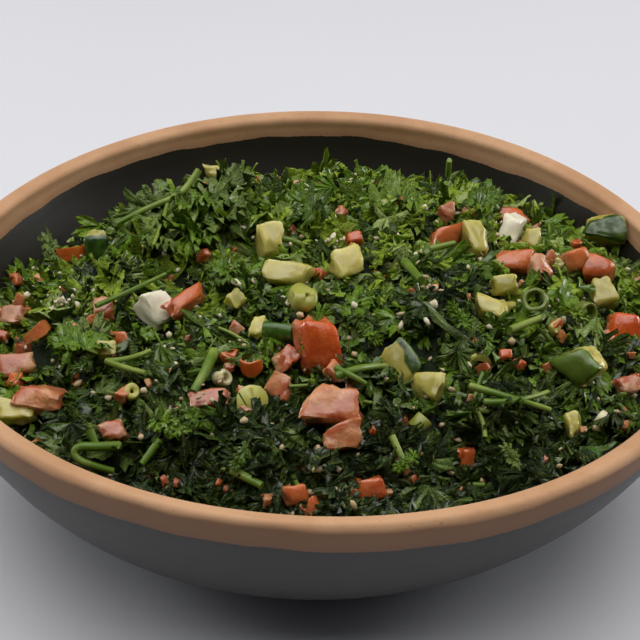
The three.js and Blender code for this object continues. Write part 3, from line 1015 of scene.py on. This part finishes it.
def leaf(seed, lobes, spread, curl, ruffle):
    """A closed leaf fan 1 unit long with its stalk end at the origin. Gives places, faces, ribs."""
    rng = np.random.default_rng(seed)
    shape = bmesh.new()
    rib = shape.verts.layers.float.new("rib")
    columns = len(LOBE) * lobes
    bmesh.ops.create_grid(shape, x_segments=columns, y_segments=2, size=0.5)
    reach = 1 - SIDE_SHORTER * abs(np.linspace(-1, 1, lobes)) ** SIDE_CURVE
    reach += rng.uniform(-REACH_VARIES, REACH_VARIES, lobes)
    lift = rng.normal(0, ruffle, lobes)
    aside = rng.uniform(-LOBE_TWIST, LOBE_TWIST, lobes) * spread / lobes / 2
    jitter = rng.uniform(-JITTER, JITTER, (2, columns + 1))
    for vertex in shape.verts:
        column, ring = round((vertex.co.x + 0.5) * columns), round((vertex.co.y + 0.5) * 2)
        lobe = min(column // len(LOBE), lobes - 1)
        place = column % len(LOBE)
        across, edge, middle, middle_rise, edge_rise = LOBE[place]
        if column == columns:
            across = 0.5
        out = (0, middle, edge)[ring] * (reach[lobe] if place else reach.min())
        out *= 1 + jitter[0, column] * ring / 2
        angle = ((lobe + 0.5 + across * LOBE_WIDENS[ring]) / lobes - 0.5) * spread
        angle += aside[lobe] * ring if place else 0
        rise = (0, middle_rise, edge_rise)[ring] + ((lift[lobe] if place else 0) + curl) * out ** 2
        vertex[rib] = VEIN_SHOWS[ring] * (place in VEINED)
        rise += jitter[1, column] * ring / 4
        vertex.co = Vector((sin(angle) * out, cos(angle) * out, rise))
    bmesh.ops.triangulate(shape, faces=shape.faces[:])
    under = bmesh.ops.duplicate(shape, geom=shape.faces[:])["geom"]
    faces = [part for part in under if isinstance(part, bmesh.types.BMFace)]
    bmesh.ops.reverse_faces(shape, faces=faces)
    for part in under:
        if isinstance(part, bmesh.types.BMVert) and not part.is_boundary:
            part.co.z -= LEAF_THICKNESS
    bmesh.ops.remove_doubles(shape, verts=shape.verts[:], dist=1e-4)
    return taken(shape, rib)


STALK_FOOT, STALK_TIP, STALK_LENGTH, STALK_MIDDLE = 0.022, 0.012, 0.6, 0.28
FAN_SPREAD = radians(185)
FAN_TURNS, FAN_TIPS = 14, 30   # how far a fan may turn and tip, in degrees
FAN_SIZES = (0.85, 1.1)


def spray(seed, fronds):
    """A whole leaf 1 unit long: a stalk with fans at its end and beside it."""
    rng = np.random.default_rng(seed)
    shape = bmesh.new()
    bmesh.ops.create_cone(shape, cap_ends=True, segments=4, radius1=STALK_FOOT, radius2=STALK_TIP,
                          depth=STALK_LENGTH)
    bmesh.ops.triangulate(shape, faces=shape.faces[:])
    rod, sides, _ = taken(shape)
    # The stalk lies along y, so y and z change places and every face turns over.
    all_places, all_faces = [rod[:, [0, 2, 1]] + (0, STALK_MIDDLE, 0)], [sides[:, ::-1]]
    all_ribs = [np.ones(len(rod))]
    for along, heading, size, lobes in fronds:
        leaf_seed = int(rng.integers(1e6))
        curl = rng.uniform(-0.2, 0.3)
        places, faces, ribs = leaf(leaf_seed, lobes, FAN_SPREAD, curl, ruffle=0.3)
        heading = -heading + rng.uniform(-FAN_TURNS, FAN_TURNS)
        turn = turned(heading, *rng.uniform(-FAN_TIPS, FAN_TIPS, 2))
        all_faces.append(faces + sum(len(done) for done in all_places))
        all_places.append(places * size * rng.uniform(*FAN_SIZES) @ turn.T + (0, along, 0))
        all_ribs.append(ribs)
    return np.concatenate(all_places), np.concatenate(all_faces), np.concatenate(all_ribs)


def leaf_finish(name, deep, mid, pale, shine, ribbed):
    """Wet parsley: tone picks each leaf between three greens, and its ribs are a little paler. At
    the front of the heap, tone also carries painted shade.
    """
    finish = Finish(name, IOR=1.42)
    tone = finish.own("tone")
    rib = finish.own("rib")
    mottle = finish.grain(700, 3, 0.7)
    crinkle = finish.grain(1500, 2)
    wet = finish.grain(300, 2).between(0.46, 0.60)
    green = finish.layers(
        paint(*deep),
        (tone.between(0.15, 0.75), *mid),
        (tone.between(0.75, 0.98), *pale),
        (rib.between(0.3, 1.0) * ribbed, *pale),
        (mottle.between(0.45, 0.8) * 0.45, *deep),
    )
    return finish.wear(
        Base_Color=green,
        Roughness=0.5 + (mottle - 0.5) * 0.2,
        Coat_Weight=wet * shine,
        Coat_Roughness=0.14,
        Normal=finish.bump(mottle * 1.4 + crinkle * 0.5, 0.9, 0.0011),
    )


rng = np.random.default_rng(7)
fans = [leaf(100 + n, 5 + 2 * (n % 3 == 0), spread=radians(180 + 20 * (n % 3)),
             curl=rng.uniform(-0.35, 0.35), ruffle=0.34) for n in range(FAN_SHAPES)]
lobes = [leaf(200 + n, 3, spread=radians(120 + 30 * (n % 3)),
              curl=rng.uniform(-0.4, 0.4), ruffle=0.25) for n in range(LOBE_SHAPES)]
bits = [leaf(300 + n, 1 + n % 2, spread=radians(60 + 40 * (n % 2)),
             curl=rng.uniform(-0.4, 0.4), ruffle=0.2) for n in range(LOBE_SHAPES)]
# Where each fan of a leaf grows: along the stalk, heading, length, lobes.
SPRIG = ((0.52, 0, 0.52, 5), (0.42, -62, 0.46, 3), (0.38, 64, 0.46, 3))
FEATHER = (
    (0.70, 0, 0.32, 5), (0.62, -42, 0.30, 5), (0.60, 44, 0.30, 5), (0.46, -64, 0.34, 5),
    (0.42, 62, 0.34, 5), (0.27, -74, 0.30, 5), (0.22, 72, 0.30, 5), (0.52, 8, 0.30, 5),
    (0.33, -12, 0.28, 3), (0.40, 24, 0.24, 3),
)
sprays = [spray(400 + n, SPRIG) for n in range(SPRAY_SHAPES)]
whole = [spray(500 + n, FEATHER) for n in range(SPRAY_SHAPES)]
bright = leaf_finish("parsley_upper", (24, 46, 2), (102, 138, 12), (148, 174, 40),
                     shine=1, ribbed=0.25)
dusky = leaf_finish("parsley_under", (74, 98, 28), (112, 136, 52), (164, 182, 104),
                    shine=0.7, ribbed=0.5)

SHORT_PIECE = 0.007     # shorter pieces cling to the dice nearer their middle than long ones
CLINGING = 0.72
LAYERS = (  # name, shapes, how many, length, height over the core, tilt, bend, finish
    ("parsley_sprays", sprays, 440, (0.011, 0.017), (-0.0045, -0.0004), 0.40, 0.45, bright),
    ("parsley_fans", fans, 930, (0.0062, 0.0100), (-0.0060, 0.0002), 0.50, 0.45, bright),
    ("parsley_lobes", lobes, 1750, (0.0038, 0.0066), (-0.0060, 0.0008), 0.60, 0.45, bright),
    ("parsley_undersides", fans, 240, (0.006, 0.010), (-0.0040, 0.0002), 0.50, 0.45, dusky),
    ("parsley_bits", bits, 2300, (0.0020, 0.0038), (-0.0045, 0.0008), 0.70, 0.40, bright),
)
for name, shapes, count, sizes, lifts, tilt, bend, finish in LAYERS:
    spots, normal = strewn_spots(rng, count, rng.uniform(*lifts, count))
    free = not_in_clearing(spots, CLINGING if sizes[1] < SHORT_PIECE else 1.0)
    spots, normal = spots[free], normal[free]
    parts = strewn(shapes, rng, spots, normal, rng.uniform(*sizes, len(spots)), tilt, bend)
    joined(name, parts, finish, smooth_angle=50)


# Named leaves: the few whole leaves that lie on top, each set by where its stalk and tip are seen.
# The big sprig at the back left lies underside up, so it is greyer and more ribbed than the rest.
TOP_LEAVES = (  # stalk and its rise, tip and its rise in mm, shape, width, which side is up
    ((186, 186), 7, (112, 226), 5, 1, 0.8, "under"),
    ((168, 204), 6, (152, 256), 4, 0, 0.7, "under"),
    ((176, 200), 6, (132, 206), 6, 3, 0.7, "under"),
    ((190, 196), 6, (196, 254), 4, 2, 0.8, "upper"),
    ((200, 186), 7, (238, 240), 4, 5, 0.8, "under"),
    ((206, 180), 7, (226, 200), 7, 4, 0.9, "under"),
    ((150, 232), 4, (112, 262), 3, 6, 0.8, "upper"),
    ((60, 262), 4, (42, 234), 6, 1, 0.6, "under"),
    ((394, 220), 2, (402, 186), 1, 4, 0.6, "lit"),
    ((96, 352), 5, (58, 340), 4, 5, 0.9, "upper"),
    ((94, 356), 4, (70, 374), 3, 2, 0.8, "upper"),
    ((300, 352), 3, (326, 304), 5, 7, 0.7, "upper"),
    ((470, 214), 3, (500, 192), 3, 4, 0.7, "upper"),
    ((428, 200), 2, (444, 180), 1, 2, 0.6, "upper"),
    ((520, 470), 5, (502, 440), 5, 3, 0.9, "under"),
    ((208, 428), 4, (176, 404), 5, 1, 0.8, "upper"),
    ((150, 414), 4, (190, 436), 4, 6, 0.9, "upper"),
    ((420, 452), 5, (392, 470), 4, 0, 0.9, "upper"),
    ((250, 440), 4, (232, 474), 4, 5, 0.9, "upper"),
    ((358, 326), 4, (384, 346), 4, 3, 0.8, "upper"),
    ((236, 282), 4, (214, 262), 5, 7, 0.8, "lit"),
    ((560, 302), 4, (590, 322), 4, 1, 0.8, "upper"),
    ((470, 330), 4, (448, 300), 5, 6, 0.9, "upper"),
    ((300, 228), 2, (322, 204), 3, 2, 0.8, "upper"),
)
LEAF_CUP, CUP_CURVE = 0.15, 1.5
TONES = (0.35, 0.5)     # the darkest, and how much lighter they get
# A copy of the parsley painted lighter, as painted light, for the leaves that catch the light.
lit = leaf_finish("parsley_lit", (62, 92, 8), (96, 130, 18), (142, 164, 52),
                  shine=0.6, ribbed=0.4)
SIDES = {"upper": bright, "under": dusky, "lit": lit}
named = {side: [] for side in SIDES}
toward_camera = Vector((0, -0.45, 1)).normalized()
for number, (stalk, stalk_rise, tip, tip_rise, kind, width, side) in enumerate(TOP_LEAVES):
    start = above_heap(*stalk, stalk_rise / 1000)
    end = above_heap(*tip, tip_rise / 1000)
    ahead = (end - start).normalized()
    across = ahead.cross(toward_camera).normalized()
    up = across.cross(ahead)
    places, faces, ribs = whole[kind % len(whole)]
    length = (end - start).length
    local = places.copy()
    local[:, 0] *= width
    local[:, 2] -= LEAF_CUP * abs(local[:, 0]) ** CUP_CURVE
    world = (local[:, 0:1] * np.array(across) + local[:, 1:2] * np.array(ahead)
             + local[:, 2:3] * np.array(up)) * length + np.array(start)
    tone = TONES[0] + TONES[1] * ((number * 0.618) % 1)
    named[side].append((inside_wall(world), faces, {"tone": tone, "rib": ribs}))
for side, leaves in named.items():
    joined(f"top_leaves_{side}", leaves, SIDES[side], smooth_angle=50)


# Stems: the thin stalks of the parsley, chopped with it and bent. They are round, hollow-looking
# and pale green, and the longest lie on top.
STEMS = (  # points in the picture, rise in mm at each, thickness in mm
    (((199, 170), (190, 184), (176, 198), (150, 206), (116, 224)), (9, 10, 10, 9, 8), 2.1),
    (((176, 198), (188, 222), (198, 252)), (9, 8, 5), 1.8),
    (((168, 202), (162, 226), (153, 246)), (9, 8, 6), 1.4),
    (((120, 446), (96, 447), (78, 446), (73, 454), (84, 464), (113, 471)), (3, 4, 4, 4, 4, 3), 2.2),
    (((90, 430), (97, 446)), (3, 3), 2.0),
    (((106, 361), (124, 362), (150, 351)), (4, 4, 4), 1.6),
    (((106, 361), (124, 368), (146, 373)), (4, 4, 4), 1.6),
    (((336, 376), (360, 366), (386, 366)), (3, 4, 4), 2.0),
    (((336, 368), (350, 374), (366, 384)), (3, 4, 3), 1.6),
    (((470, 386), (506, 396), (550, 410)), (3, 4, 4), 1.8),
    (((484, 402), (516, 404), (548, 392)), (3, 4, 4), 1.6),
    (((96, 306), (128, 292), (166, 274)), (4, 5, 5), 1.4),
    (((430, 249), (455, 243)), (7, 7), 1.8),
    (((405, 262), (421, 280)), (4, 4), 2.6),
    (((448, 176), (450, 152)), (3, 7), 1.8),
    (((214, 352), (206, 372), (193, 392)), (3, 4, 3), 2.8),
    (((510, 330), (540, 318)), (3, 4), 2.0),
    (((232, 470), (262, 486)), (3, 3), 2.2),
    (((392, 436), (404, 462)), (3, 3), 1.8),
    (((160, 440), (142, 464)), (3, 3), 2.0),
)
LOOSE_STEMS = 110
STEM_LENGTHS, STEM_RADII = (0.005, 0.014), (0.0004, 0.0009)
THICK_END, THINNING = 1.1, 0.4


def rods(name, routes, finish):
    """Thin bent stalks as one mesh. A route is (points in metres, radius)."""
    bundle = bpy.data.curves.new(name, "CURVE")
    bundle.dimensions = "3D"
    bundle.bevel_depth = 1
    bundle.bevel_resolution = 1
    bundle.resolution_u = 4
    bundle.use_fill_caps = True
    for points, radius in routes:
        stalk = bundle.splines.new("NURBS")
        stalk.points.add(len(points) - 1)
        for number, (knot, point) in enumerate(zip(stalk.points, points)):
            knot.co = (*point, 1)
            knot.radius = radius * (THICK_END - THINNING * number / len(points))
        stalk.order_u = min(3, len(points))
        stalk.use_endpoint_u = True
    holder = bpy.data.objects.new(name + "_curve", bundle)
    mesh = bpy.data.meshes.new_from_object(holder)
    mesh.name = name
    bpy.data.objects.remove(holder)
    places = np.empty(len(mesh.vertices) * 3)
    mesh.vertices.foreach_get("co", places)
    mesh.vertices.foreach_set("co", inside_wall(places.reshape(-1, 3)).ravel())
    mesh.materials.clear()
    mesh.materials.append(finish)
    mesh.shade_smooth()
    piece = shown(name, mesh)
    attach(piece, "root")


routes = []
for pixels, rises, thick in STEMS:
    points = [above_heap(*pixel, rise / 1000) for pixel, rise in zip(pixels, rises)]
    routes.append((points, thick / 2000))
spots, normal = strewn_spots(rng, LOOSE_STEMS, rng.uniform(-0.004, -0.0010, LOOSE_STEMS))
free = not_in_clearing(spots)
for spot, up in zip(spots[free], normal[free]):
    heading = rng.uniform(0, 2 * pi)
    along = np.array((cos(heading), sin(heading), rng.uniform(-0.3, 0.5)))
    length = rng.uniform(*STEM_LENGTHS)
    bow = np.cross(along, up) * length * rng.uniform(-0.3, 0.3)
    points = [spot - along * length / 2, spot + bow, spot + along * length / 2]
    routes.append((points, rng.uniform(*STEM_RADII)))
stalk = Finish("parsley_stem", IOR=1.4, Coat_Roughness=0.15, Coat_Weight=0.3)
stalk_patch = stalk.grain(60, 2)
stalk_grain = stalk.grain(900, 2)
stalk_green = stalk.layers(paint(84, 116, 20), (stalk_patch.between(0.35, 0.65), 140, 158, 66),
                           (stalk_grain.between(0.5, 0.8) * 0.4, 62, 90, 14))
stalk.wear(Base_Color=stalk_green, Roughness=0.35 + stalk_grain * 0.2,
           Normal=stalk.bump(stalk_grain, 0.3, 0.0003))
rods("parsley_stems", routes, stalk.material)


# Bulgur: cracked wheat soaked in the dressing, in grains of about 2 mm that cling to everything.
# A few stay whole; most are off-white and slightly glassy, some tan.
GRAINS = 620
LUMPS = (  # where grains cling together: place, reach in mm, number
    (210, 399, 5, 20), (436, 228, 2, 6), (334, 240, 3, 12), (300, 186, 3, 16), (434, 290, 2, 7),
    (66, 302, 3, 9),
)
SEEN_GRAINS = (  # whole grains that stand out: place in the picture
    (108, 398), (144, 391), (78, 384), (60, 300), (27, 295), (436, 229), (425, 208), (333, 237),
    (238, 288), (425, 277), (434, 289), (434, 304), (401, 314), (401, 326), (427, 321), (439, 367),
    (419, 366), (448, 370), (264, 234), (283, 226), (300, 315), (335, 387), (419, 264), (336, 217),
    (220, 379), (141, 437), (244, 421), (354, 505), (317, 469), (348, 418), (236, 283), (439, 224),
)
GRAIN_SHAPES = 6
CRACKED = (-0.45, 0.30)
GRAIN_WIDTH, GRAIN_HEIGHT = 0.70, 0.55
grains = []
for number in range(GRAIN_SHAPES):
    draw = np.random.default_rng(300 + number)
    shape = bmesh.new()
    bmesh.ops.create_icosphere(shape, subdivisions=1, radius=0.5)
    for vertex in shape.verts:
        vertex.co *= 1 + draw.uniform(*CRACKED)
        vertex.co.y *= GRAIN_WIDTH
        vertex.co.z *= GRAIN_HEIGHT
    grains.append(taken(shape))
wheat = Finish("bulgur_grain", IOR=1.4, Coat_Roughness=0.2, Coat_Weight=0.25)
# Through tone, the grains at the front of the heap are painted darker and tan too, as painted
# shade.
wheat_tone = wheat.own("tone")
wheat_grain = wheat.grain(1200, 2)
wheat_body = wheat.layers(paint(190, 168, 124), (wheat_tone.between(0.1, 0.9), 232, 222, 192),
                          (wheat_grain.between(0.5, 0.8) * 0.4, 160, 128, 92))
wheat.wear(Base_Color=wheat_body, Roughness=0.45 + wheat_grain * 0.15,
           Normal=wheat.bump(wheat_grain, 0.3, 0.0003))
LUMP_HEIGHT = 0.002
LUMP_SHAPE = (1.3, 0.8, 0.5)
groups = [(*strewn_spots(rng, GRAINS, rng.uniform(-0.0030, 0.0010, GRAINS)),
           rng.uniform(0.0014, 0.0028, GRAINS))]
seen = np.array([above_heap(*pixel, rng.uniform(0.0020, 0.0032)) for pixel in SEEN_GRAINS])
groups.append((seen, np.tile((0.0, 0, 1), (len(seen), 1)), rng.uniform(0.0025, 0.0034, len(seen))))
for px, py, reach_mm, count in LUMPS:
    middle = np.array(above_heap(px, py, LUMP_HEIGHT))
    lump = middle + rng.normal(0, reach_mm / 2000, (count, 3)) * LUMP_SHAPE
    groups.append((lump, np.tile((0.0, 0, 1), (count, 1)), rng.uniform(0.0013, 0.0022, count)))
spots, normal, size = (np.concatenate(numbers) for numbers in zip(*groups))
parts = strewn(grains, rng, spots, normal, size, tilt=1, bend=0)
joined("bulgur_grains", parts, wheat.material)
